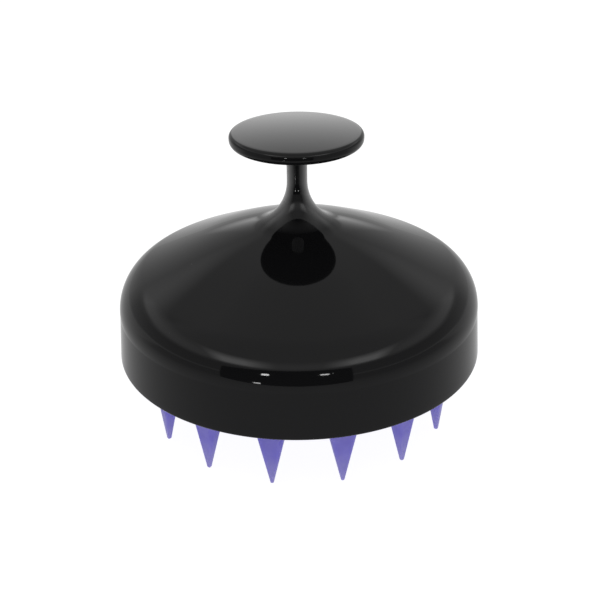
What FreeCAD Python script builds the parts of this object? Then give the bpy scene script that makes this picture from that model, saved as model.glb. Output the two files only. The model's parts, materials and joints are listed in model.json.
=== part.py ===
import FreeCAD, Part
import math
import os

# Scalp massager brush. Millimetres, +Z up. The origin is on the axis of the brush, in the plane
# that the tips of the outer teeth stand on.

# --- Driving dimensions ---
RIM_RADIUS = 42.4            # outside of the skirt at its lower edge
RIM_HEIGHT = 16.2            # lower edge of the skirt above the tips of the outer teeth
RIM_ROUNDING = 0.6
BAND_LEAN_DEG = 3.07         # the skirt band leans inwards as it rises
WAIST_FILLET = 2.5           # soft hollow between the band and the shoulder
SHOULDER_RADIUS = 9.77       # rounding of the shoulder
SHOULDER_CENTRE_R = 32.09
SHOULDER_CENTRE_RISE = 11.76  # above the rim
CROWN_EDGE_SLOPE_DEG = 24.3
OUTER_CROWN_RADIUS = 1200.0  # the outer crown is almost a cone
CROWN_CHANGE_R = 24.0        # the inner crown, rounder, starts here
INNER_CROWN_RADIUS = 105.0
FLARE_RADIUS = 11.0          # sweep from the crown up into the stem
STEM_RADIUS = 2.33
WALL = 2.2
ROOF_RISE = 25.2             # flat roof of the hollow, above the rim
SPIGOT_HEIGHT = 1.0          # the stem's top end sits this deep in the disc

DISC_RISE = 50.3             # underside of the finger disc above the rim
DISC_THICKNESS = 3.25
DISC_RADIUS = 15.09
DISC_FLAT_RADIUS = 9.0       # flat middle of the disc's top
DISC_EDGE_RADIUS = 1.35
DISC_EDGE_TURN_DEG = 78.0    # the upper edge rounds over by this much
DISC_EDGE_DROP = 0.4         # the top falls this much from its flat to the edge rounding

PAD_RISE = 1.5               # working face of the soft pad above the rim
PAD_RADIUS = 39.5
PAD_THICKNESS = 5.5
PAD_EDGE_ROUNDING = 0.8
CARRIER_RADIUS = 37.9
CARRIER_THICKNESS = 1.8
CARRIER_FIT = 0.05           # the pad's lip round the plate's edge
CARRIER_RIB_RADIUS = 19.0
CARRIER_RIB_WIDTH = 1.5
CARRIER_RIB_HEIGHT = 2.0
CARRIER_WINDOW_RADIUS = 6.0
LEDGE_WIDTH = 3.2            # ledge inside the skirt that the plate seats on
LEDGE_HEIGHT = 1.4

SCREW_CIRCLE = 28.0
SCREW_COUNT = 4
FIRST_SCREW_DEG = 45.0
SCREW_RADIUS = 1.3
SCREW_LENGTH = 7.5
SCREW_HEAD_RADIUS = 2.3
SCREW_HEAD_HEIGHT = 1.3
BOSS_RADIUS = 3.2
PLATE_HOLE_RADIUS = 1.5
HEAD_POCKET_GAP = 0.2
PILOT_SPARE = 1.0            # the screws' holes are this much deeper than their tips

KNOB_SCREW_RADIUS = 1.25
KNOB_SCREW_BITE = 1.8        # length of thread inside the disc
KNOB_SCREW_HEAD_RADIUS = 2.8
KNOB_SCREW_HEAD_HEIGHT = 1.8
STEM_BORE_RADIUS = 1.35
CROSS_WIDTH = 0.6            # cross recess in the screw heads
CROSS_SPAN_SHARE = 1.2       # of the head's radius
CROSS_DEPTH_SHARE = 0.5      # of the head's height
HEAD_CHAMFER_SHARE = 0.3     # of the head's height

# Teeth: (name, number, circle at the root, circle at the tip, first azimuth in degrees, tip height)
OUTER_RING = ("tooth_outer", 14, 34.2, 34.7, -62.0, 0.0)
MIDDLE_RING = ("tooth_middle", 8, 21.5, 21.5, -56.0, 2.9)
INNER_RING = ("tooth_inner", 4, 10.5, 10.5, -33.5, 4.95)
TOOTH_HALF_WIDTH = 4.4       # round the ring, at the hinge line
TOOTH_HALF_DEPTH = 2.8       # along the radius, at the hinge line
TOOTH_CORNER = 1.0
TIP_HALF_WIDTH = 0.3
TIP_HALF_DEPTH = 0.42
TIP_CORNER = 0.12
HINGE_RISE = 0.5             # the teeth bend about a line this far above the pad's face
ROOT_BARREL_RADIUS = 3.1
ROOT_BARREL_HALF_LENGTH = 4.5
SOCKET_GAP = 0.25
NEAR = 0.01                  # for picking edges by height

# --- Derived levels ---
SHOULDER_Z = RIM_HEIGHT + SHOULDER_CENTRE_RISE
ROOF_Z = RIM_HEIGHT + ROOF_RISE
DISC_Z = RIM_HEIGHT + DISC_RISE
DISC_TOP_Z = DISC_Z + DISC_THICKNESS
STEM_TOP_Z = DISC_Z + SPIGOT_HEIGHT
KNOB_SCREW_TIP_Z = DISC_Z + KNOB_SCREW_BITE
PAD_Z = RIM_HEIGHT + PAD_RISE
PAD_TOP_Z = PAD_Z + PAD_THICKNESS
CARRIER_TOP_Z = PAD_TOP_Z + CARRIER_THICKNESS
HINGE_Z = PAD_Z + HINGE_RISE
HOLLOW_RADIUS = SHOULDER_CENTRE_R + SHOULDER_RADIUS - WALL

AXIS = FreeCAD.Vector(0, 0, 1)
ORIGIN = FreeCAD.Vector(0, 0, 0)


def rz(r, z):
    """A point of a profile, radius r and height z."""
    return FreeCAD.Vector(r, 0, z)


def line(a, b):
    """A straight edge."""
    return Part.LineSegment(a, b).toShape()


def swing(centre, radius, degrees):
    """The point at an angle on a circle in the profile plane, from outwards towards up."""
    turn = math.radians(degrees)
    return rz(centre.x + radius * math.cos(turn), centre.z + radius * math.sin(turn))


def arc(centre, radius, start_deg, end_deg):
    """A round edge of a profile."""
    middle_deg = (start_deg + end_deg) / 2
    start = swing(centre, radius, start_deg)
    middle = swing(centre, radius, middle_deg)
    end = swing(centre, radius, end_deg)
    return Part.Arc(start, middle, end).toShape()


def angle_to(centre, point):
    """The angle of a point about a centre, in degrees."""
    return math.degrees(math.atan2(point.z - centre.z, point.x - centre.x))


def revolve(edges):
    """A solid of revolution about the brush's axis from a closed profile."""
    face = Part.Face(Part.Wire(edges))
    return face.revolve(ORIGIN, AXIS, 360)


def cylinder(radius, bottom, top, x=0.0, y=0.0):
    """An upright cylinder between two heights."""
    return Part.makeCylinder(radius, top - bottom, FreeCAD.Vector(x, y, bottom), AXIS)


def ring(outer, inner, bottom, top):
    """An upright ring between two heights."""
    return cylinder(outer, bottom, top).cut(cylinder(inner, bottom, top))


def screw_places():
    """The centres of the carrier plate's screws."""
    places = []
    for index in range(SCREW_COUNT):
        turn = math.radians(FIRST_SCREW_DEG + index * 360 / SCREW_COUNT)
        places.append((SCREW_CIRCLE * math.cos(turn), SCREW_CIRCLE * math.sin(turn)))
    return places


def save(name, shape):
    """Write one node's solids."""
    shape.removeSplitter().exportStep("parts/" + name + ".step")


# --- Outline of the body, from the rim to the stem's top ---
rim_centre = rz(RIM_RADIUS - RIM_ROUNDING, RIM_HEIGHT + RIM_ROUNDING)
band_start = swing(rim_centre, RIM_ROUNDING, BAND_LEAN_DEG)
band_way = rz(-math.sin(math.radians(BAND_LEAN_DEG)), math.cos(math.radians(BAND_LEAN_DEG)))
band_out = rz(math.cos(math.radians(BAND_LEAN_DEG)), math.sin(math.radians(BAND_LEAN_DEG)))
shoulder_centre = rz(SHOULDER_CENTRE_R, SHOULDER_Z)

# The waist's fillet touches the band and the shoulder's circle from outside.
offset = band_start + band_out * WAIST_FILLET - shoulder_centre
reach = SHOULDER_RADIUS + WAIST_FILLET
along = offset.dot(band_way)
band_length = -along - math.sqrt(along ** 2 - offset.dot(offset) + reach ** 2)
band_end = band_start + band_way * band_length
waist_centre = band_end + band_out * WAIST_FILLET
waist_from_shoulder_deg = angle_to(shoulder_centre, waist_centre)

# The outer crown's circle holds the shoulder's and the inner crown's, and the flare's circle touches
# the inner crown from outside.
crown_edge_deg = 90 - CROWN_EDGE_SLOPE_DEG
outer_centre = swing(shoulder_centre, SHOULDER_RADIUS - OUTER_CROWN_RADIUS, crown_edge_deg)
crown_change_deg = math.degrees(math.acos((CROWN_CHANGE_R - outer_centre.x) / OUTER_CROWN_RADIUS))
inner_centre = swing(outer_centre, OUTER_CROWN_RADIUS - INNER_CROWN_RADIUS, crown_change_deg)
flare_centre_r = STEM_RADIUS + FLARE_RADIUS
flare_reach = INNER_CROWN_RADIUS + FLARE_RADIUS
flare_rise = math.sqrt(flare_reach ** 2 - (flare_centre_r - inner_centre.x) ** 2)
flare_centre = rz(flare_centre_r, inner_centre.z + flare_rise)
crown_top_deg = angle_to(inner_centre, flare_centre)


def dome_shell():
    """The black body: skirt, shoulder, crown, flare and stem, hollow below, with its bosses."""
    edges = [
        line(rz(0, RIM_HEIGHT), rz(rim_centre.x, RIM_HEIGHT)),
        arc(rim_centre, RIM_ROUNDING, -90, BAND_LEAN_DEG),
        line(band_start, band_end),
        arc(waist_centre, WAIST_FILLET, 180 + BAND_LEAN_DEG, 180 + waist_from_shoulder_deg),
        arc(shoulder_centre, SHOULDER_RADIUS, waist_from_shoulder_deg, crown_edge_deg),
        arc(outer_centre, OUTER_CROWN_RADIUS, crown_edge_deg, crown_change_deg),
        arc(inner_centre, INNER_CROWN_RADIUS, crown_change_deg, crown_top_deg),
        arc(flare_centre, FLARE_RADIUS, 180 + crown_top_deg, 180),
        line(rz(STEM_RADIUS, flare_centre.z), rz(STEM_RADIUS, STEM_TOP_Z)),
        line(rz(STEM_RADIUS, STEM_TOP_Z), rz(0, STEM_TOP_Z)),
        line(rz(0, STEM_TOP_Z), rz(0, RIM_HEIGHT)),
    ]
    outside = revolve(edges)

    vault_radius = INNER_CROWN_RADIUS - WALL
    roof_deg = math.degrees(math.asin((ROOF_Z - inner_centre.z) / vault_radius))
    roof_edge = swing(inner_centre, vault_radius, roof_deg)
    hollow_edges = [
        line(rz(0, RIM_HEIGHT), rz(HOLLOW_RADIUS, RIM_HEIGHT)),
        line(rz(HOLLOW_RADIUS, RIM_HEIGHT), rz(HOLLOW_RADIUS, SHOULDER_Z)),
        arc(shoulder_centre, SHOULDER_RADIUS - WALL, 0, crown_edge_deg),
        arc(outer_centre, OUTER_CROWN_RADIUS - WALL, crown_edge_deg, crown_change_deg),
        arc(inner_centre, vault_radius, crown_change_deg, roof_deg),
        line(roof_edge, rz(0, ROOF_Z)),
        line(rz(0, ROOF_Z), rz(0, RIM_HEIGHT)),
    ]
    hollow = revolve(hollow_edges)

    ledge_top_z = CARRIER_TOP_Z + LEDGE_HEIGHT
    inside = ring(HOLLOW_RADIUS, HOLLOW_RADIUS - LEDGE_WIDTH, CARRIER_TOP_Z, ledge_top_z)
    pilot_z = PAD_TOP_Z + SCREW_LENGTH + PILOT_SPARE
    for x, y in screw_places():
        boss = cylinder(BOSS_RADIUS, CARRIER_TOP_Z, ROOF_Z, x, y)
        pilot = cylinder(SCREW_RADIUS, CARRIER_TOP_Z, pilot_z, x, y)
        inside = inside.fuse(boss.cut(pilot))
    shell = outside.cut(hollow).fuse(inside.common(hollow))
    return shell.cut(cylinder(STEM_BORE_RADIUS, ROOF_Z, STEM_TOP_Z))


def knob_disc():
    """The finger disc, with a socket for the stem's end and a blind hole for the screw."""
    edge_r = DISC_RADIUS - DISC_EDGE_RADIUS
    edge_centre = rz(edge_r, DISC_Z + DISC_EDGE_RADIUS)
    upper_z = DISC_TOP_Z - DISC_EDGE_DROP
    upper_centre = rz(edge_r, upper_z - DISC_EDGE_RADIUS)
    edges = [
        line(rz(0, DISC_Z), rz(edge_r, DISC_Z)),
        arc(edge_centre, DISC_EDGE_RADIUS, -90, 0),
        line(swing(edge_centre, DISC_EDGE_RADIUS, 0), swing(upper_centre, DISC_EDGE_RADIUS, 0)),
        arc(upper_centre, DISC_EDGE_RADIUS, 0, DISC_EDGE_TURN_DEG),
        line(swing(upper_centre, DISC_EDGE_RADIUS, DISC_EDGE_TURN_DEG), rz(DISC_FLAT_RADIUS, DISC_TOP_Z)),
        line(rz(DISC_FLAT_RADIUS, DISC_TOP_Z), rz(0, DISC_TOP_Z)),
        line(rz(0, DISC_TOP_Z), rz(0, DISC_Z)),
    ]
    disc = revolve(edges)
    disc = disc.cut(cylinder(STEM_RADIUS, DISC_Z, STEM_TOP_Z))
    return disc.cut(cylinder(KNOB_SCREW_RADIUS, STEM_TOP_Z, KNOB_SCREW_TIP_Z))


def screw(radius, head_radius, head_height, seat, tip, x=0.0, y=0.0):
    """A screw with its head below, at height seat, and a cross recess in the head."""
    head = cylinder(head_radius, seat - head_height, seat, x, y)
    head = head.makeChamfer(head_height * HEAD_CHAMFER_SHARE, [head.Edges[2]])
    shaft = cylinder(radius, seat, tip, x, y)
    body = head.fuse(shaft)
    span = head_radius * CROSS_SPAN_SHARE
    for length, width in ((span, CROSS_WIDTH), (CROSS_WIDTH, span)):
        corner = FreeCAD.Vector(x - length / 2, y - width / 2, seat - head_height)
        body = body.cut(Part.makeBox(length, width, head_height * CROSS_DEPTH_SHARE, corner))
    return body


def carrier_plate():
    """The stiff plate behind the soft pad, with a stiffening rib and a window in the middle."""
    plate = ring(CARRIER_RADIUS, CARRIER_WINDOW_RADIUS, PAD_TOP_Z, CARRIER_TOP_Z)
    rib_outer = CARRIER_RIB_RADIUS + CARRIER_RIB_WIDTH
    rib_top_z = CARRIER_TOP_Z + CARRIER_RIB_HEIGHT
    plate = plate.fuse(ring(rib_outer, CARRIER_RIB_RADIUS, CARRIER_TOP_Z, rib_top_z))
    for x, y in screw_places():
        plate = plate.cut(cylinder(PLATE_HOLE_RADIUS, PAD_TOP_Z, CARRIER_TOP_Z, x, y))
    return plate


def carrier_screws():
    """The four screws of the plate, as separate solids."""
    seat = PAD_TOP_Z
    tip = PAD_TOP_Z + SCREW_LENGTH
    screws = []
    for x, y in screw_places():
        screws.append(screw(SCREW_RADIUS, SCREW_HEAD_RADIUS, SCREW_HEAD_HEIGHT, seat, tip, x, y))
    return Part.makeCompound(screws)


def tooth_places(ring_of_teeth):
    """Name, azimuth and turn of each tooth of a ring. Azimuth 0 faces -Y and grows towards +X."""
    name, count, _, _, first, _ = ring_of_teeth
    for index in range(count):
        yield name + "_%02d" % (index + 1), first + index * 360 / count


def place(shape, azimuth):
    """Turn a shape that was made on the -Y side to its azimuth."""
    placed = shape.copy()
    placed.rotate(ORIGIN, AXIS, azimuth)
    return placed


def rounded_oblong(half_width, half_depth, corner, centre_r, z):
    """A closed rounded rectangle, wide along X, on the -Y side of the axis."""
    turn = math.sqrt(0.5)
    edges = []
    corners = ((1, -1), (1, 1), (-1, 1), (-1, -1))
    starts = []
    for sx, sy in corners:
        cx = sx * (half_width - corner)
        cy = -centre_r + sy * (half_depth - corner)
        ends = [FreeCAD.Vector(cx + sx * corner, cy, z), FreeCAD.Vector(cx, cy + sy * corner, z)]
        if sx * sy < 0:
            ends.reverse()
        middle = FreeCAD.Vector(cx + sx * corner * turn, cy + sy * corner * turn, z)
        starts.append((ends[0], middle, ends[1]))
    for index, (start, middle, end) in enumerate(starts):
        edges.append(Part.Arc(start, middle, end).toShape())
        edges.append(line(end, starts[(index + 1) % len(starts)][0]))
    return Part.Wire(edges)


def root_barrel(centre_r, radius, half_length):
    """A cylinder along the hinge line of a tooth on the -Y side."""
    start = FreeCAD.Vector(-half_length, -centre_r, HINGE_Z)
    return Part.makeCylinder(radius, 2 * half_length, start, FreeCAD.Vector(1, 0, 0))


def tooth(ring_of_teeth):
    """One tooth on the -Y side: a four-sided taper with rounded corners on a round root."""
    _, _, root_r, tip_r, _, tip_z = ring_of_teeth
    root = rounded_oblong(TOOTH_HALF_WIDTH, TOOTH_HALF_DEPTH, TOOTH_CORNER, root_r, HINGE_Z)
    tip = rounded_oblong(TIP_HALF_WIDTH, TIP_HALF_DEPTH, TIP_CORNER, tip_r, tip_z)
    taper = Part.makeLoft([root, tip], True, True)
    return taper.fuse(root_barrel(root_r, ROOT_BARREL_RADIUS, ROOT_BARREL_HALF_LENGTH))


def tooth_pad():
    """The soft pad: a shallow cup over the plate, with a socket for each tooth's root."""
    pad = cylinder(PAD_RADIUS, PAD_Z, CARRIER_TOP_Z)
    low_edges = [edge for edge in pad.Edges if edge.BoundBox.ZMax < PAD_Z + NEAR]
    pad = pad.makeFillet(PAD_EDGE_ROUNDING, low_edges)
    pad = pad.cut(cylinder(CARRIER_RADIUS + CARRIER_FIT, PAD_TOP_Z, CARRIER_TOP_Z))
    socket_radius = ROOT_BARREL_RADIUS + SOCKET_GAP
    socket_half_length = ROOT_BARREL_HALF_LENGTH + SOCKET_GAP
    for ring_of_teeth in (OUTER_RING, MIDDLE_RING, INNER_RING):
        socket = root_barrel(ring_of_teeth[2], socket_radius, socket_half_length)
        for _, azimuth in tooth_places(ring_of_teeth):
            pad = pad.cut(place(socket, azimuth))
    for x, y in screw_places():
        pocket_r = SCREW_HEAD_RADIUS + HEAD_POCKET_GAP
        pocket_z = PAD_TOP_Z - SCREW_HEAD_HEIGHT - HEAD_POCKET_GAP
        pad = pad.cut(cylinder(pocket_r, pocket_z, PAD_TOP_Z, x, y))
    return pad


os.makedirs("parts", exist_ok=True)
save("dome_shell", dome_shell())
save("knob_disc", knob_disc())
head_size = (KNOB_SCREW_HEAD_RADIUS, KNOB_SCREW_HEAD_HEIGHT)
save("knob_screw", screw(KNOB_SCREW_RADIUS, *head_size, ROOF_Z, KNOB_SCREW_TIP_Z))
save("carrier_plate", carrier_plate())
save("carrier_screws", carrier_screws())
save("tooth_pad", tooth_pad())
for ring_of_teeth in (OUTER_RING, MIDDLE_RING, INNER_RING):
    pattern = tooth(ring_of_teeth)
    for name, azimuth in tooth_places(ring_of_teeth):
        save(name, place(pattern, azimuth))
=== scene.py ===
"""Looks of a scalp massager brush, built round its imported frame.

The brush has a gloss black dome with a thin stem and a finger disc on top, and a soft purple pad of
tapered teeth below. Every length is in metres, in the frame's own axes, with +Z up along the stem.
"""

import json
import logging
import math
from dataclasses import dataclass, field
from enum import Enum

import bpy
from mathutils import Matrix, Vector


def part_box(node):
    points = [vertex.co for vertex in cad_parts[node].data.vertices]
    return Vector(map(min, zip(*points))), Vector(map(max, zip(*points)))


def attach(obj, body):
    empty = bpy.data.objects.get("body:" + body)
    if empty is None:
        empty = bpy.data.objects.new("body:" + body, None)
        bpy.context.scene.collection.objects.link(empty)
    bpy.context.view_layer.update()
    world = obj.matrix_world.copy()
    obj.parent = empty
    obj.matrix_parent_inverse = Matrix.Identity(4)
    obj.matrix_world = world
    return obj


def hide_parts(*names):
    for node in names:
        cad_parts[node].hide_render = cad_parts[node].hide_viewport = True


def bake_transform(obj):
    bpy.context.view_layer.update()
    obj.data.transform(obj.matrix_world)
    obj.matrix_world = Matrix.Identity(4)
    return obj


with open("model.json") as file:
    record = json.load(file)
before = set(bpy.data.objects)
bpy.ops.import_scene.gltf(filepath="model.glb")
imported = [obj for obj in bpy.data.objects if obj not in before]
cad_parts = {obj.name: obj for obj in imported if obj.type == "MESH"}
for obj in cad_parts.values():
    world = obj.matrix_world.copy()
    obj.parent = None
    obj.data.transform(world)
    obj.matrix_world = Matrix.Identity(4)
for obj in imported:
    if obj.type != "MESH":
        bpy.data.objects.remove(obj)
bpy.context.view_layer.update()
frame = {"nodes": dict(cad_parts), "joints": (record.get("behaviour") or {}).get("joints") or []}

LOG = logging.getLogger("scalp_brush")
MM = 0.001
SAME_POINT = 0.002 * MM
GRAIN_SPAN = (0.3, 0.7)
FLAT_STEPS = 8
CREASE_DEGREES = 50.0
SMOOTH_DEGREES = 35.0
# How strongly the stem's edges are painted lighter, as a painted highlight.
STEM_EDGE_HIGHLIGHT = 0.85
HANDLE_BODY = "handle_body"
Outline = list[Vector]
Nodes = bpy.types.ShaderNodeTree
Socket = bpy.types.NodeSocket
Colour = tuple[float, float, float]
Triple = tuple[float, float, float]
Span = tuple[float, float]


class Ring(Enum):
    """The rings of teeth, by the start of their nodes' names."""

    OUTER = "tooth_outer"
    MIDDLE = "tooth_middle"
    INNER = "tooth_inner"


# --- Small helpers for outlines and edit mode ---


def around(centre: Vector, radius: float, degrees: float) -> Vector:
    """Return the point of a circle at an angle from outwards towards up."""
    turn = math.radians(degrees)
    return Vector((centre.x + radius * math.cos(turn), centre.y + radius * math.sin(turn)))


def sweep(centre: Vector, radius: float, start: float, end: float, steps: int) -> Outline:
    """Return the points of a round stretch of an outline.

    Args:
        centre: Centre of the circle, as radius and height.
        radius: Radius of the circle.
        start: Angle of the first point, in degrees.
        end: Angle of the last point, in degrees.
        steps: Number of chords.

    Returns:
        The points, both ends included.
    """
    return [around(centre, radius, start + (end - start) * i / steps) for i in range(steps + 1)]


def stretch(start: Vector, end: Vector, steps: int) -> Outline:
    """Return evenly spaced points of a straight stretch, without its two ends."""
    return [start.lerp(end, i / steps) for i in range(1, steps)]


def bearing(centre: Vector, point: Vector) -> float:
    """Return the angle of a point about a centre, in degrees."""
    return math.degrees(math.atan2(point.y - centre.y, point.x - centre.x))


def start_editing(name: str) -> bpy.types.Object:
    """Name the new primitive, which is in edit mode with all of it selected.

    Args:
        name: The piece's name.

    Returns:
        The primitive's object.
    """
    piece = bpy.context.object
    piece.name = name
    piece.data.name = name
    return piece


def clear_selection() -> None:
    """Leave edit mode and select nothing, because operators act on all that is selected."""
    if bpy.context.object and bpy.context.object.mode == "EDIT":
        bpy.ops.object.mode_set(mode="OBJECT")
    bpy.ops.object.select_all(action="DESELECT")


def finish_editing(piece: bpy.types.Object, smooth_degrees: float = SMOOTH_DEGREES) -> bpy.types.Object:
    """Leave edit mode, apply the piece's place to its mesh and shade it smoothly.

    Args:
        piece: The piece that was modelled.
        smooth_degrees: Edges that turn by more than this stay sharp.

    Returns:
        The same piece.
    """
    bpy.ops.object.mode_set(mode="OBJECT")
    bpy.ops.object.transform_apply(location=True, rotation=True, scale=True)
    bpy.ops.object.shade_smooth_by_angle(angle=math.radians(smooth_degrees))
    return piece


def turn_outline(
    name: str, outline: Outline, steps: int, smooth_degrees: float = SMOOTH_DEGREES
) -> bpy.types.Object:
    """Turn an outline about the brush's axis into a closed piece.

    Args:
        name: The piece's name.
        outline: Radius and height of each point. It starts and ends on the axis.
        steps: Number of faces round the axis.
        smooth_degrees: Edges that turn by more than this stay sharp.

    Returns:
        The turned piece.
    """
    clear_selection()
    bpy.ops.mesh.primitive_circle_add(vertices=3, radius=MM, enter_editmode=True)
    piece = start_editing(name)
    bpy.ops.mesh.merge(type="CENTER")
    bpy.ops.transform.translate(value=(outline[0].x, 0, outline[0].y))
    for before, after in zip(outline, outline[1:]):
        move = (after.x - before.x, 0, after.y - before.y)
        bpy.ops.mesh.extrude_vertices_move(TRANSFORM_OT_translate={"value": move})
    bpy.ops.mesh.select_all(action="SELECT")
    axis = {"center": (0, 0, 0), "axis": (0, 0, 1)}
    bpy.ops.mesh.spin(steps=steps, angle=math.tau, use_auto_merge=True, **axis)
    bpy.ops.mesh.select_all(action="SELECT")
    bpy.ops.mesh.remove_doubles(threshold=SAME_POINT)
    bpy.ops.mesh.normals_make_consistent(inside=False)
    return finish_editing(piece, smooth_degrees)


def dress(piece: bpy.types.Object, material: bpy.types.Material) -> None:
    """Give a piece one material, in place of any it has."""
    piece.data.materials.clear()
    piece.data.materials.append(material)


# --- Finishes ---


def new_material(name: str) -> tuple[bpy.types.Material, Nodes, bpy.types.ShaderNode]:
    """Start a node material.

    Args:
        name: The material's name.

    Returns:
        The material, its node tree and its main shader.
    """
    material = bpy.data.materials.new(name)
    material.use_nodes = True
    shader = material.node_tree.nodes["Principled BSDF"]
    return material, material.node_tree, shader


def add_node(tree: Nodes, kind: str, **inputs: object) -> bpy.types.ShaderNode:
    """Add a node and set or link its inputs.

    Args:
        tree: The material's node tree.
        kind: The node's type, without its ShaderNode prefix.
        inputs: A value or an output socket for each input, with underscores for spaces.

    Returns:
        The new node.
    """
    node = tree.nodes.new("ShaderNode" + kind)
    for key, value in inputs.items():
        socket = node.inputs[key.replace("_", " ")]
        if isinstance(value, bpy.types.NodeSocket):
            tree.links.new(value, socket)
        else:
            socket.default_value = value
    return node


def ramp(tree: Nodes, factor: Socket, span: Span, result: Span = (0.0, 1.0)) -> Socket:
    """Map a factor from one range to another and clamp it.

    Args:
        tree: The node tree.
        factor: The value to map.
        span: The values between which the result changes.
        result: The results at the two ends of the span.

    Returns:
        The mapped output socket.
    """
    ends = {"From_Min": span[0], "From_Max": span[1], "To_Min": result[0], "To_Max": result[1]}
    return add_node(tree, "MapRange", Value=factor, **ends).outputs["Result"]


def fade(tree: Nodes, factor: Socket, span: Span) -> Socket:
    """Return a socket that falls from 1 to 0 while the factor crosses the span."""
    return ramp(tree, factor, span, (1.0, 0.0))


def blend_colours(tree: Nodes, factor: Socket, first: Colour | Socket, second: Colour | Socket) -> Socket:
    """Mix two colours by a factor.

    Args:
        tree: The node tree.
        factor: 0 gives the first colour and 1 the second.
        first: A colour, or a socket with one.
        second: A colour, or a socket with one.

    Returns:
        The mixed colour's output socket.
    """
    node = tree.nodes.new("ShaderNodeMix")
    node.data_type = "RGBA"
    tree.links.new(factor, node.inputs[0])
    for socket, value in ((node.inputs[6], first), (node.inputs[7], second)):
        if isinstance(value, bpy.types.NodeSocket):
            tree.links.new(value, socket)
        else:
            socket.default_value = (*value, 1.0)
    return node.outputs[2]


def blend_values(tree: Nodes, factor: Socket, first: float | Socket, second: float | Socket) -> Socket:
    """Mix two numbers by a factor.

    Args:
        tree: The node tree.
        factor: 0 gives the first number and 1 the second.
        first: A number, or a socket with one.
        second: A number, or a socket with one.

    Returns:
        The mixed number's output socket.
    """
    node = tree.nodes.new("ShaderNodeMix")
    tree.links.new(factor, node.inputs[0])
    for socket, value in ((node.inputs[2], first), (node.inputs[3], second)):
        if isinstance(value, bpy.types.NodeSocket):
            tree.links.new(value, socket)
        else:
            socket.default_value = value
    return node.outputs[0]


def product(tree: Nodes, *factors: Socket) -> Socket:
    """Multiply factors and return the product's output socket."""
    result = factors[0]
    for factor in factors[1:]:
        node = tree.nodes.new("ShaderNodeMath")
        node.operation = "MULTIPLY"
        tree.links.new(result, node.inputs[0])
        tree.links.new(factor, node.inputs[1])
        result = node.outputs[0]
    return result


@dataclass(frozen=True)
class GlossBlack:
    """Gloss black moulded plastic, with orange peel, hairline scratches, a few dust specks and an optional
    painted highlight on the stem's edges.
    """

    colour: Colour = (0.0052, 0.0052, 0.0056)
    dust_colour: Colour = (0.07, 0.07, 0.07)
    # Colour of the painted highlight on the stem's edges.
    highlight_colour: Colour = (0.6, 0.6, 0.6)
    specular: float = 0.175
    roughness: Span = (0.035, 0.085)
    cloud_scale: float = 90.0
    cloud_span: Span = (0.35, 0.75)
    scratch_turn: Triple = (0.3, 0.9, 0.5)
    scratch_scale: Triple = (60.0, 2600.0, 2600.0)
    scratch_span: Span = (0.66, 0.74)
    scratch_strength: float = 0.35
    peel_size: float = 1.6 * MM
    peel_height: float = 0.0012 * MM
    speck_spacing: float = 3.4 * MM
    speck_span: Span = (0.024, 0.0408)
    speck_pick: Span = (0.90, 0.905)
    speck_height: float = 0.02 * MM
    # Strength of the painted highlight on the stem's edges, over the heights and grazing angles below.
    stem_highlight: float = 0.0
    stem_highlight_heights: Span = (48 * MM, 53.5 * MM)
    highlight_grazing: Span = (0.06, 0.95)

    def material(self, name: str) -> bpy.types.Material:
        """Build the material.

        Args:
            name: The material's name.

        Returns:
            The finished material.
        """
        made, tree, shader = new_material(name)
        place = add_node(tree, "TexCoord").outputs["Object"]

        # Dust: a small dot in a few of the cells.
        cells = add_node(tree, "TexVoronoi", Vector=place, Scale=1 / self.speck_spacing)
        dot = fade(tree, cells.outputs["Distance"], self.speck_span)
        pick = add_node(tree, "SeparateColor", Color=cells.outputs["Color"]).outputs["Red"]
        speck = product(tree, dot, ramp(tree, pick, self.speck_pick))
        colour = blend_colours(tree, speck, self.colour, self.dust_colour)

        # A painted highlight on the stem: the base colour turns lighter towards the stem's edges, where it is
        # seen at grazing angles.
        height = add_node(tree, "SeparateXYZ", Vector=place).outputs["Z"]
        on_stem = ramp(tree, height, self.stem_highlight_heights, (0.0, self.stem_highlight))
        edge = add_node(tree, "LayerWeight", Blend=0.5).outputs["Facing"]
        painted_highlight = product(tree, on_stem, ramp(tree, edge, self.highlight_grazing))
        tree.links.new(blend_colours(tree, painted_highlight, colour, self.highlight_colour), shader.inputs["Base Color"])

        # Roughness: cloudy handling marks and hairline scratches.
        cloud = add_node(tree, "TexNoise", Vector=place, Scale=self.cloud_scale, Detail=5.0, Roughness=0.6)
        turned = {"Rotation": self.scratch_turn, "Scale": self.scratch_scale}
        drawn = add_node(tree, "Mapping", Vector=place, **turned).outputs["Vector"]
        hair = add_node(tree, "TexNoise", Vector=drawn, Scale=1.0, Detail=2.0).outputs["Fac"]
        marks = add_node(tree, "Math")
        marks.operation = "MAXIMUM"
        tree.links.new(ramp(tree, cloud.outputs["Fac"], self.cloud_span), marks.inputs[0])
        scratches = ramp(tree, hair, self.scratch_span, (0.0, self.scratch_strength))
        tree.links.new(scratches, marks.inputs[1])
        rough = ramp(tree, marks.outputs[0], (0.0, 1.0), self.roughness)
        tree.links.new(rough, shader.inputs["Roughness"])

        # Orange peel, with the dust standing a little proud.
        peel = add_node(tree, "TexNoise", Vector=place, Scale=1 / self.peel_size, Detail=2.0)
        relief = add_node(
            tree, "Bump", Height=peel.outputs["Fac"], Strength=1.0, Distance=self.peel_height
        ).outputs["Normal"]
        dusty = add_node(
            tree, "Bump", Height=speck, Normal=relief, Strength=0.6, Distance=self.speck_height
        )
        tree.links.new(dusty.outputs["Normal"], shader.inputs["Normal"])
        shader.inputs["Specular IOR Level"].default_value = self.specular
        return made


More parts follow.
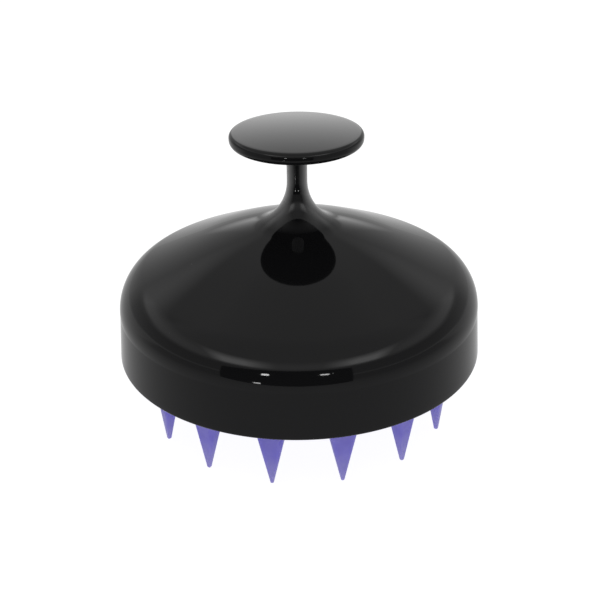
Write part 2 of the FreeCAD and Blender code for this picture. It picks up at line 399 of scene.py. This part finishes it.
@dataclass(frozen=True)
class SoftPurple:
    """Soft violet silicone: translucent, paler towards thin tips, with a fine satin grain."""

    root_colour: Colour = (0.150, 0.130, 0.520)
    tip_colour: Colour = (0.260, 0.240, 0.520)
    mottle_colour: Colour = (0.185, 0.165, 0.560)
    mottle_scale: float = 260.0
    mottle_span: Span = (0.35, 0.7)
    thin_span: Span = (0.55, 1.0)
    roughness: Span = (0.33, 0.45)
    specular: float = 0.4
    subsurface: float = 0.45
    depth: float = 2.2 * MM
    scatter: Triple = (0.7, 0.6, 1.0)
    grain_size: float = 0.16 * MM
    grain_height: float = 0.004 * MM

    def material(self, name: str) -> bpy.types.Material:
        """Build the material. It reads the piece's own tip_share attribute, 0 at a root and 1 at a tip.

        Args:
            name: The material's name.

        Returns:
            The finished material.
        """
        made, tree, shader = new_material(name)
        place = add_node(tree, "TexCoord").outputs["Object"]
        share = tree.nodes.new("ShaderNodeAttribute")
        share.attribute_name = "tip_share"
        cloud = add_node(tree, "TexNoise", Vector=place, Scale=self.mottle_scale, Detail=4.0, Roughness=0.55)
        mottle = ramp(tree, cloud.outputs["Fac"], self.mottle_span)
        body = blend_colours(tree, mottle, self.root_colour, self.mottle_colour)
        thin = ramp(tree, share.outputs["Fac"], self.thin_span)
        colour = blend_colours(tree, thin, body, self.tip_colour)
        tree.links.new(colour, shader.inputs["Base Color"])

        grain = add_node(tree, "TexNoise", Vector=place, Scale=1 / self.grain_size, Detail=3.0)
        rough = ramp(tree, grain.outputs["Fac"], GRAIN_SPAN, self.roughness)
        tree.links.new(rough, shader.inputs["Roughness"])
        relief = add_node(tree, "Bump", Height=grain.outputs["Fac"], Strength=1.0, Distance=self.grain_height)
        tree.links.new(relief.outputs["Normal"], shader.inputs["Normal"])
        shader.inputs["Subsurface Weight"].default_value = self.subsurface
        shader.inputs["Subsurface Radius"].default_value = self.scatter
        shader.inputs["Subsurface Scale"].default_value = self.depth
        shader.inputs["Specular IOR Level"].default_value = self.specular
        return made


@dataclass(frozen=True)
class MattBlack:
    """Matt black moulded plastic of the hidden plate, with an eroded grain."""

    low: Colour = (0.020, 0.020, 0.021)
    high: Colour = (0.034, 0.034, 0.036)
    roughness: Span = (0.48, 0.66)
    grain_scale: float = 3200.0
    grain_height: float = 0.02 * MM

    def material(self, name: str) -> bpy.types.Material:
        """Build the material.

        Args:
            name: The material's name.

        Returns:
            The finished material.
        """
        made, tree, shader = new_material(name)
        place = add_node(tree, "TexCoord").outputs["Object"]
        grain = add_node(tree, "TexNoise", Vector=place, Scale=self.grain_scale, Detail=4.0).outputs["Fac"]
        tree.links.new(blend_colours(tree, grain, self.low, self.high), shader.inputs["Base Color"])
        tree.links.new(ramp(tree, grain, GRAIN_SPAN, self.roughness), shader.inputs["Roughness"])
        relief = add_node(tree, "Bump", Height=grain, Strength=1.0, Distance=self.grain_height)
        tree.links.new(relief.outputs["Normal"], shader.inputs["Normal"])
        return made


@dataclass(frozen=True)
class PlatedSteel:
    """Zinc-plated screw steel, with turning marks and small stains."""

    bright: Colour = (0.62, 0.62, 0.60)
    dull: Colour = (0.40, 0.39, 0.36)
    roughness: Span = (0.22, 0.45)
    stain_scale: float = 900.0
    stain_span: Span = (0.4, 0.75)
    wear_span: Span = (0.3, 0.8)
    thread_scale: float = 310.0
    thread_height: float = 0.05 * MM

    def material(self, name: str) -> bpy.types.Material:
        """Build the material.

        Args:
            name: The material's name.

        Returns:
            The finished material.
        """
        made, tree, shader = new_material(name)
        place = add_node(tree, "TexCoord").outputs["Object"]
        stain = add_node(tree, "TexNoise", Vector=place, Scale=self.stain_scale, Detail=5.0).outputs["Fac"]
        spot = ramp(tree, stain, self.stain_span)
        tree.links.new(blend_colours(tree, spot, self.bright, self.dull), shader.inputs["Base Color"])
        tree.links.new(ramp(tree, stain, self.wear_span, self.roughness), shader.inputs["Roughness"])
        thread = add_node(tree, "TexWave", Vector=place, Scale=self.thread_scale, Distortion=0.4)
        thread.bands_direction = "Z"
        height = thread.outputs["Fac"]
        relief = add_node(tree, "Bump", Height=height, Strength=0.8, Distance=self.thread_height)
        tree.links.new(relief.outputs["Normal"], shader.inputs["Normal"])
        shader.inputs["Metallic"].default_value = 1.0
        return made


# --- The brush's pieces ---


@dataclass
class DomeShell:
    """The gloss black body: skirt band, shoulder, low crown, flare and stem, hollow below."""

    finish: GlossBlack
    rim_radius: float = 42.4 * MM
    rim_rounding: float = 0.6 * MM
    band_lean: float = 3.07
    waist_fillet: float = 2.5 * MM
    shoulder_radius: float = 9.77 * MM
    shoulder_centre_r: float = 32.09 * MM
    shoulder_rise: float = 11.76 * MM
    crown_edge_slope: float = 24.3
    outer_crown_radius: float = 1200.0 * MM
    crown_change_r: float = 24.0 * MM
    inner_crown_radius: float = 105.0 * MM
    flare_radius: float = 11.0 * MM
    stem_radius: float = 2.33 * MM
    wall: float = 2.2 * MM
    roof_rise: float = 25.2 * MM
    rim_chamfer: float = 0.15 * MM
    coarse_steps: int = 8
    fine_steps: int = 26
    steps_round: int = 288

    def outline(self) -> Outline:
        """Return the closed outline, from the hollow's roof round the rim to the stem's top."""
        low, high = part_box("dome_shell")
        rim, top = low.z, high.z
        rim_centre = Vector((self.rim_radius - self.rim_rounding, rim + self.rim_rounding))
        band_start = around(rim_centre, self.rim_rounding, self.band_lean)
        lean = math.radians(self.band_lean)
        up_band = Vector((-math.sin(lean), math.cos(lean)))
        off_band = Vector((math.cos(lean), math.sin(lean)))
        shoulder = Vector((self.shoulder_centre_r, rim + self.shoulder_rise))

        # The waist's fillet touches the band and the shoulder from outside.
        offset = band_start + off_band * self.waist_fillet - shoulder
        reach = self.shoulder_radius + self.waist_fillet
        along = offset.dot(up_band)
        band_length = -along - math.sqrt(along**2 - offset.dot(offset) + reach**2)
        band_end = band_start + up_band * band_length
        waist = band_end + off_band * self.waist_fillet
        waist_turn = bearing(shoulder, waist)

        # The outer crown holds the shoulder and the inner crown, which touches the flare.
        crown_edge = 90 - self.crown_edge_slope
        outer = around(shoulder, self.shoulder_radius - self.outer_crown_radius, crown_edge)
        change = math.degrees(math.acos((self.crown_change_r - outer.x) / self.outer_crown_radius))
        inner = around(outer, self.outer_crown_radius - self.inner_crown_radius, change)
        flare_r = self.stem_radius + self.flare_radius
        flare_reach = self.inner_crown_radius + self.flare_radius
        flare = Vector((flare_r, inner.y + math.sqrt(flare_reach**2 - (flare_r - inner.x) ** 2)))
        crown_top = bearing(inner, flare)

        roof = rim + self.roof_rise
        vault = self.inner_crown_radius - self.wall
        roof_turn = math.degrees(math.asin((roof - inner.y) / vault))
        hollow_r = self.shoulder_centre_r + self.shoulder_radius - self.wall
        roof_edge = around(inner, vault, roof_turn)

        points = [Vector((0, roof))]
        few, many, chamfer = self.coarse_steps, self.fine_steps, self.rim_chamfer
        points += stretch(points[0], roof_edge, few // 2)
        points += sweep(inner, vault, roof_turn, change, few - 2)
        points += sweep(outer, self.outer_crown_radius - self.wall, change, crown_edge, few // 2)[1:]
        points += sweep(shoulder, self.shoulder_radius - self.wall, crown_edge, 0, few)[1:]
        points += stretch(points[-1], Vector((hollow_r, rim)), few - 2)
        points += [Vector((hollow_r, rim + chamfer)), Vector((hollow_r + chamfer, rim))]
        points += sweep(rim_centre, self.rim_rounding, -90, self.band_lean, few)
        points += stretch(band_start, band_end, few)
        points += sweep(waist, self.waist_fillet, 180 + self.band_lean, 180 + waist_turn, few + 2)
        points += sweep(shoulder, self.shoulder_radius, waist_turn, crown_edge, many)[1:]
        points += sweep(outer, self.outer_crown_radius, crown_edge, change, few)[1:]
        points += sweep(inner, self.inner_crown_radius, change, crown_top, many - 2)[1:]
        points += sweep(flare, self.flare_radius, 180 + crown_top, 180, many)[1:]
        stem_top = Vector((self.stem_radius, top))
        points += stretch(points[-1], stem_top, few - 2)
        return points + [stem_top, Vector((0, top))]

    def build(self) -> bpy.types.Object:
        """Model the shell, dress it and return it."""
        shell = turn_outline("black_shell", self.outline(), self.steps_round)
        dress(shell, self.finish.material("gloss black shell"))
        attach(shell, HANDLE_BODY)
        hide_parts("dome_shell")
        return shell


@dataclass
class FingerDisc:
    """The round disc on the stem, with a gently crowned top and a soft edge."""

    finish: GlossBlack
    crown_drop: float = 0.42 * MM
    edge_radius: float = 0.95 * MM
    under_radius: float = 1.45 * MM
    edge_steps: int = 12
    under_steps: int = 14
    face_steps: int = 20
    steps_round: int = 224

    def outline(self) -> Outline:
        """Return the outline from the middle of the underside to the middle of the top."""
        low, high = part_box("knob_disc")
        radius = high.x
        edge_r = radius - self.edge_radius
        under = low.z
        shoulder_z = high.z - self.crown_drop
        top_radius = (edge_r**2 + self.crown_drop**2) / (2 * self.crown_drop)
        top_centre = Vector((0, high.z - top_radius))
        edge_slope = math.degrees(math.asin(edge_r / top_radius))
        under_r = radius - self.under_radius
        under_centre = Vector((under_r, under + self.under_radius))
        over_centre = Vector((edge_r, shoulder_z - self.edge_radius))
        points = [Vector((0, under))]
        points += stretch(points[0], Vector((under_r, under)), FLAT_STEPS)
        points += sweep(under_centre, self.under_radius, -90, 0, self.under_steps)
        points += sweep(over_centre, self.edge_radius, 0, 90 - edge_slope, self.edge_steps)
        return points + sweep(top_centre, top_radius, 90 - edge_slope, 90, self.face_steps)[1:]

    def build(self) -> bpy.types.Object:
        """Model the disc, dress it and return it."""
        disc = turn_outline("finger_disc", self.outline(), self.steps_round, CREASE_DEGREES)
        dress(disc, self.finish.material("gloss black disc"))
        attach(disc, HANDLE_BODY)
        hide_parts("knob_disc")
        return disc


@dataclass
class SoftPad:
    """The purple pad that closes the dome from below, with a shallow bead round its edge."""

    finish: SoftPurple
    edge_rounding: float = 0.8 * MM
    bead_width: float = 1.3 * MM
    groove_depth: float = 0.35 * MM
    steps_round: int = 224

    def outline(self) -> Outline:
        """Return the outline from the middle of the top to the middle of the working face."""
        low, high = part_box("tooth_pad")
        radius = high.x
        face = low.z
        edge = Vector((radius - self.edge_rounding, face + self.edge_rounding))
        groove_r = radius - self.edge_rounding - self.bead_width
        groove = Vector((groove_r, face))
        points = [Vector((0, high.z))]
        points += stretch(points[0], Vector((radius, high.z)), FLAT_STEPS - 2)
        points += [Vector((radius, high.z))]
        points += sweep(edge, self.edge_rounding, 0, -90, FLAT_STEPS)
        points += [Vector((groove_r + self.groove_depth, face))]
        points += sweep(groove, self.groove_depth, 0, 180, FLAT_STEPS)[1:]
        points += stretch(points[-1], Vector((0, face)), 2 * FLAT_STEPS)
        return points + [Vector((0, face))]

    def build(self) -> bpy.types.Object:
        """Model the pad, dress it and return it."""
        pad = turn_outline("soft_pad", self.outline(), self.steps_round, CREASE_DEGREES)
        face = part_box("tooth_pad")[0].z
        mark_tip_share(pad, face, 0.0)
        dress(pad, self.finish.material("violet silicone pad"))
        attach(pad, HANDLE_BODY)
        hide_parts("tooth_pad")
        return pad


def mark_tip_share(piece: bpy.types.Object, root: float, tip: float) -> None:
    """Store on each point how far down a tooth it is.

    Args:
        piece: The piece to mark.
        root: Height of the root, where the share is 0, as it is on all that is higher.
        tip: Height of the tip, where the share is 1.
    """
    marks = piece.data.attributes.new("tip_share", "FLOAT", "POINT")
    span = root - tip
    for point, mark in zip(piece.data.vertices, marks.data):
        mark.value = min(1.0, max(0.0, (root - point.co.z) / span))


@dataclass
class ToothRing:
    """One ring of soft teeth: four-sided tapers that flare out of the pad and end in a round tip."""

    ring: Ring
    finish: SoftPurple
    half_width: float = 4.4 * MM
    half_depth: float = 2.8 * MM
    corner: float = 1.15 * MM
    corner_steps: int = 7
    tip_half_width: float = 0.3 * MM
    tip_half_depth: float = 0.42 * MM
    tip_round: float = 0.462 * MM
    tip_degrees: tuple[int, ...] = (25, 45, 62, 76)
    root_fillet: float = 1.3 * MM
    fillet_steps: int = 8
    sunk: float = 0.25 * MM
    outer_lean: float = 0.5 * MM
    levels_down: int = 26
    bend_offset: float = 0.2 * MM
    bend_length: float = 5.5 * MM
    smooth_degrees: float = 60.0
    names: list[str] = field(init=False)
    hinges: dict[str, Vector] = field(init=False)
    root_r: float = field(init=False)
    root_z: float = field(init=False)
    tip_z: float = field(init=False)
    face_z: float = field(init=False)

    def __post_init__(self) -> None:
        """Read the ring's nodes and hinges from the frame."""
        self.names = sorted(name for name in frame["nodes"] if name.startswith(self.ring.value))
        self.hinges = {joint["child"]: Vector(joint["pos_m"]) for joint in frame["joints"]}
        first = self.names[0]
        self.root_r = self.hinges[first].to_2d().length
        self.root_z = self.hinges[first].z
        self.tip_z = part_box(first)[0].z
        self.face_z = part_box("tooth_pad")[0].z

    def lean(self) -> float:
        """Return how far the tips stand outside their roots."""
        return self.outer_lean if self.ring is Ring.OUTER else 0.0

    def taper(self, z: float) -> tuple[float, float]:
        """Return the half width and half depth of the plain taper at a height."""
        share = (self.root_z - z) / (self.root_z - self.tip_z)
        width = self.half_width + (self.tip_half_width - self.half_width) * share
        depth = self.half_depth + (self.tip_half_depth - self.half_depth) * share
        return width, depth

    def levels(self) -> list[Triple]:
        """Return height, half width and half depth of the tooth's sections, from the root down."""
        rows = []

        # The fillet at the pad: a quarter round from the pad's face down to the sides.
        for i in range(self.fillet_steps + 1):
            turn = math.radians(90 * i / self.fillet_steps)
            z = self.face_z - self.root_fillet * (1 - math.cos(turn))
            out = self.root_fillet * (1 - math.sin(turn))
            width, depth = self.taper(z)
            rows.append((z, width + out, depth + out))
        rows.insert(0, (self.face_z + self.sunk, *rows[0][1:]))

        # The sides, and the rounded tip.
        below = rows[-1][0]
        end = self.tip_z + self.tip_round
        for i in range(1, self.levels_down + 1):
            z = below + (end - below) * i / self.levels_down
            rows.append((z, *self.taper(z)))
        width, depth = rows[-1][1:]
        for degrees in self.tip_degrees:
            turn = math.radians(degrees)
            z = end - self.tip_round * math.sin(turn)
            rows.append((z, width * math.cos(turn), depth * math.cos(turn)))
        return rows

    def pattern(self) -> bpy.types.Object:
        """Model one tooth on the -Y side of the brush and return it."""
        rows = self.levels()
        z, width, depth = rows[0]
        clear_selection()
        bpy.ops.mesh.primitive_plane_add(size=2.0, enter_editmode=True, location=(0, -self.root_r, z))
        tooth = start_editing(self.ring.value + "_pattern")
        bpy.ops.transform.resize(value=(width, depth, 1), center_override=(0, -self.root_r, z))
        corner = self.corner + self.root_fillet
        bpy.ops.mesh.bevel(
            offset=corner, offset_type="OFFSET", segments=self.corner_steps, affect="VERTICES"
        )
        slope = self.lean() / (self.root_z - self.tip_z)
        for (z0, w0, d0), (z1, w1, d1) in zip(rows, rows[1:]):
            drop = (0, -slope * (z0 - z1), z1 - z0)
            bpy.ops.mesh.extrude_region_move(TRANSFORM_OT_translate={"value": drop})
            middle = -self.root_r - slope * (self.root_z - z1)
            bpy.ops.transform.resize(value=(w1 / w0, d1 / d0, 1), center_override=(0, middle, z1))
        last = (0, 0, self.tip_z - rows[-1][0])
        bpy.ops.mesh.extrude_region_move(TRANSFORM_OT_translate={"value": last})
        bpy.ops.mesh.merge(type="CENTER")
        bpy.ops.mesh.select_all(action="SELECT")
        bpy.ops.mesh.normals_make_consistent(inside=False)
        return finish_editing(tooth, self.smooth_degrees)

    def build(self) -> list[bpy.types.Object]:
        """Model the ring's teeth, one in place of each of the frame's teeth, and return them."""
        pattern = self.pattern()
        mark_tip_share(pattern, self.face_z, self.tip_z)
        material = self.finish.material("violet silicone " + self.ring.name.lower() + " teeth")
        made = []
        for name in self.names:
            clear_selection()
            pattern.select_set(True)
            bpy.context.view_layer.objects.active = pattern
            bpy.ops.object.duplicate(linked=False)
            tooth = bpy.context.object
            tooth.name = "soft_" + name
            tooth.data.name = tooth.name
            hinge = self.hinges[name]
            tooth.rotation_euler.z = math.atan2(hinge.x, -hinge.y)
            bpy.ops.object.transform_apply(location=False, rotation=True, scale=False)
            dress(tooth, material)
            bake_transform(tooth)
            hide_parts(name)
            made.append(tooth)
        bpy.data.objects.remove(pattern)
        return made


@dataclass
class HiddenParts:
    """The plate and screws inside the dome, which keep the shapes of the frame."""

    plate: MattBlack = MattBlack()
    steel: PlatedSteel = PlatedSteel()

    def build(self) -> list[bpy.types.Object]:
        """Dress the plate and the screws and return them."""
        matt = self.plate.material("matt black plate")
        plated = self.steel.material("plated screw steel")
        nodes = frame["nodes"]
        dress(nodes["carrier_plate"], matt)
        dress(nodes["carrier_screws"], plated)
        dress(nodes["knob_screw"], plated)
        return [nodes["carrier_plate"], nodes["carrier_screws"], nodes["knob_screw"]]


# --- The studio ---


@dataclass(frozen=True)
class Tent:
    """The surroundings: how bright they are in gloss, and where each part of them starts and ends.

    Spans of `up` are sines of the elevation, and spans of `deep` run from the front, -1, to the
    back, 1. Spans of `aside` are squares of the distance from the middle.
    """

    even_glow: float = 0.66
    tent_glow: float = 0.92
    flank_glow: float = 0.66
    band_glow: float = 1.3
    lamp_glow: float = 4.2
    back_glow: float = 2.3
    wall_glow: float = 0.5
    front_deep: Span = (0.62, 0.78)
    wall_foot: Span = (0.0, 0.05)
    wall_top: Span = (0.30, 0.38)
    band_foot: Span = (0.36, 0.43)
    band_top: Span = (0.52, 0.66)
    lamp_inner: Span = (0.05, 0.25)
    lamp_outer: Span = (0.45, 0.6)
    lamp_deep: Span = (-0.3, 0.0)
    flank_deep: Span = (0.25, 0.4)
    flank_top: Span = (0.68, 0.85)
    strip_deep: Span = (0.5, 0.6)
    strip_aside: Span = (0.02, 0.09)
    strip_foot: Span = (0.08, 0.18)
    strip_top: Span = (0.20, 0.54)

    def in_gloss(self, tree: Nodes) -> Socket:
        """Return how bright the surroundings are in the brush's gloss.

        There is a bright strip low behind the brush, and at the front and sides a dim wall with a
        brighter band above it and two soft lamps in the band.

        Args:
            tree: The world's node tree.

        Returns:
            The strength's output socket.
        """
        way = add_node(tree, "SeparateXYZ", Vector=add_node(tree, "TexCoord").outputs["Generated"])
        across, deep, up = way.outputs["X"], way.outputs["Y"], way.outputs["Z"]
        aside = product(tree, across, across)
        front = fade(tree, deep, self.front_deep)
        wall = product(tree, front, ramp(tree, up, self.wall_foot), fade(tree, up, self.wall_top))
        band = product(tree, front, ramp(tree, up, self.band_foot), fade(tree, up, self.band_top))
        sides = product(tree, ramp(tree, aside, self.lamp_inner), fade(tree, aside, self.lamp_outer))
        lamps = product(tree, band, sides, fade(tree, deep, self.lamp_deep))
        flank = product(tree, ramp(tree, deep, self.flank_deep), fade(tree, up, self.flank_top))
        strip = product(tree, ramp(tree, deep, self.strip_deep), fade(tree, aside, self.strip_aside))
        strip = product(tree, strip, ramp(tree, up, self.strip_foot), fade(tree, up, self.strip_top))

        gloss = blend_values(tree, flank, self.tent_glow, self.flank_glow)
        gloss = blend_values(tree, band, gloss, self.band_glow)
        gloss = blend_values(tree, lamps, gloss, self.lamp_glow)
        gloss = blend_values(tree, strip, gloss, self.back_glow)
        return blend_values(tree, wall, gloss, self.wall_glow)

    def build(self) -> bpy.types.World:
        """Light the surroundings and return the world. All but gloss sees an even white."""
        world = bpy.data.worlds.new("light tent")
        bpy.context.scene.world = world
        world.use_nodes = True
        tree = world.node_tree
        background = tree.nodes["Background"]
        path = add_node(tree, "LightPath")
        strength = blend_values(tree, path.outputs["Is Glossy Ray"], self.even_glow, self.in_gloss(tree))
        strength = blend_values(tree, path.outputs["Is Camera Ray"], strength, 1.0)
        tree.links.new(strength, background.inputs["Strength"])
        background.inputs["Color"].default_value = (1, 1, 1, 1)
        return world


@dataclass(frozen=True)
class Card:
    """An upright card in front of the brush that shows only in its gloss."""

    name: str
    glow: float
    left: float
    right: float
    foot: float
    top: float
    distance: float

    def build(self) -> bpy.types.Object:
        """Add the card and return it."""
        clear_selection()
        middle = ((self.left + self.right) / 2, -self.distance, (self.foot + self.top) / 2)
        turn = (math.radians(90), 0, 0)
        bpy.ops.mesh.primitive_plane_add(size=1.0, location=middle, rotation=turn)
        card = bpy.context.object
        card.name = self.name
        card.scale = (self.right - self.left, self.top - self.foot, 1)
        bpy.ops.object.transform_apply(location=True, rotation=True, scale=True)
        made, _, shader = new_material(self.name)
        shader.inputs["Base Color"].default_value = (0.0, 0.0, 0.0, 1)
        shader.inputs["Specular IOR Level"].default_value = 0.0
        shader.inputs["Emission Color"].default_value = (1, 1, 1, 1)
        shader.inputs["Emission Strength"].default_value = self.glow
        dress(card, made)
        card.visible_camera = False
        card.visible_diffuse = False
        card.visible_shadow = False
        return card


@dataclass(frozen=True)
class Floor:
    """A pale floor. Gloss sees it dimmer, and darker still further off in front."""

    radius: float = 3.0
    glow: float = 0.93
    near_gloss: float = 0.58
    far_gloss: float = 0.32
    far_distance: Span = (0.1, 0.2)
    front_deep: Span = (0.0, 0.05)
    low: Colour = (0.24, 0.24, 0.24)
    high: Colour = (0.26, 0.26, 0.26)
    grain_scale: float = 40.0

    def build(self) -> bpy.types.Object:
        """Add the floor and return it."""
        clear_selection()
        bpy.ops.mesh.primitive_circle_add(vertices=96, radius=self.radius, fill_type="NGON")
        floor = bpy.context.object
        floor.name = "pale_floor"
        made, tree, shader = new_material("pale floor")
        place = add_node(tree, "TexCoord").outputs["Object"]
        grain = add_node(tree, "TexNoise", Vector=place, Scale=self.grain_scale)
        colour = blend_colours(tree, grain.outputs["Fac"], self.low, self.high)
        tree.links.new(colour, shader.inputs["Base Color"])
        shader.inputs["Roughness"].default_value = 0.9
        shader.inputs["Specular IOR Level"].default_value = 0.0
        shader.inputs["Emission Color"].default_value = (1, 1, 1, 1)

        distance = add_node(tree, "VectorMath", Vector=place)
        distance.operation = "LENGTH"
        deep = add_node(tree, "SeparateXYZ", Vector=place).outputs["Y"]
        off = ramp(tree, distance.outputs["Value"], self.far_distance)
        far = product(tree, off, fade(tree, deep, self.front_deep))
        gloss = blend_values(tree, far, self.near_gloss, self.far_gloss)
        glossy = add_node(tree, "LightPath").outputs["Is Glossy Ray"]
        glow = blend_values(tree, glossy, self.glow, gloss)
        tree.links.new(glow, shader.inputs["Emission Strength"])
        dress(floor, made)
        return floor


@dataclass
class Studio:
    """The floor, the tent of light, a dark card with three small lamps, and the camera."""

    cards: tuple[Card, ...] = (
        Card("dark_flag", 0.02, -0.112, 0.063, 0.0, 0.063, 0.127),
        Card("left_lamp", 40.0, -0.043, -0.034, 0.041, 0.048, 0.126),
        Card("right_lamp", 30.0, 0.022, 0.032, 0.042, 0.047, 0.126),
        Card("low_lamp", 25.0, -0.053, -0.044, 0.003, 0.008, 0.126),
    )
    elevation: float = 24.425
    roll: float = -0.825
    distance: float = 270.57 * MM
    aim_over_rim: float = 25 * MM
    lens: float = 70.134
    shift: tuple[float, float] = (0.00332, -0.08833)

    def camera(self) -> bpy.types.Object:
        """Add the camera, looking down at the front of the brush, and return it."""
        elevation = math.radians(self.elevation)
        aim = Vector((0, 0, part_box("dome_shell")[0].z + self.aim_over_rim))
        back = Vector((0, -math.cos(elevation), math.sin(elevation)))
        bpy.ops.object.camera_add(location=aim + back * self.distance)
        camera = bpy.context.object
        camera.rotation_mode = "XYZ"
        camera.rotation_euler = (math.radians(90) - elevation, 0, 0)
        camera.rotation_euler.rotate_axis("Z", math.radians(self.roll))
        camera.data.lens = self.lens
        camera.data.shift_x, camera.data.shift_y = self.shift
        camera.data.clip_start = 0.01
        bpy.context.scene.camera = camera
        return camera

    def build(self) -> None:
        """Set up the floor, the light and the camera."""
        Floor().build()
        Tent().build()
        self.camera()
        for card in self.cards:
            card.build()
        bpy.context.scene.view_settings.view_transform = "Standard"


def report(pieces: list[bpy.types.Object]) -> None:
    """Log each finished piece with its number of faces."""
    for piece in pieces:
        LOG.info("%s: %d faces", piece.name, len(piece.data.polygons))


def main() -> None:
    """Build the brush and its studio."""
    logging.basicConfig(level=logging.INFO, format="%(message)s")
    Studio().build()
    # The shell's stem gets a painted highlight at its edges.
    report([DomeShell(GlossBlack(stem_highlight=STEM_EDGE_HIGHLIGHT)).build()])
    report([FingerDisc(GlossBlack()).build()])
    report([SoftPad(SoftPurple()).build()])
    for ring in Ring:
        report(ToothRing(ring, SoftPurple()).build())
    report(HiddenParts().build())


if __name__ == "__main__":
    main()
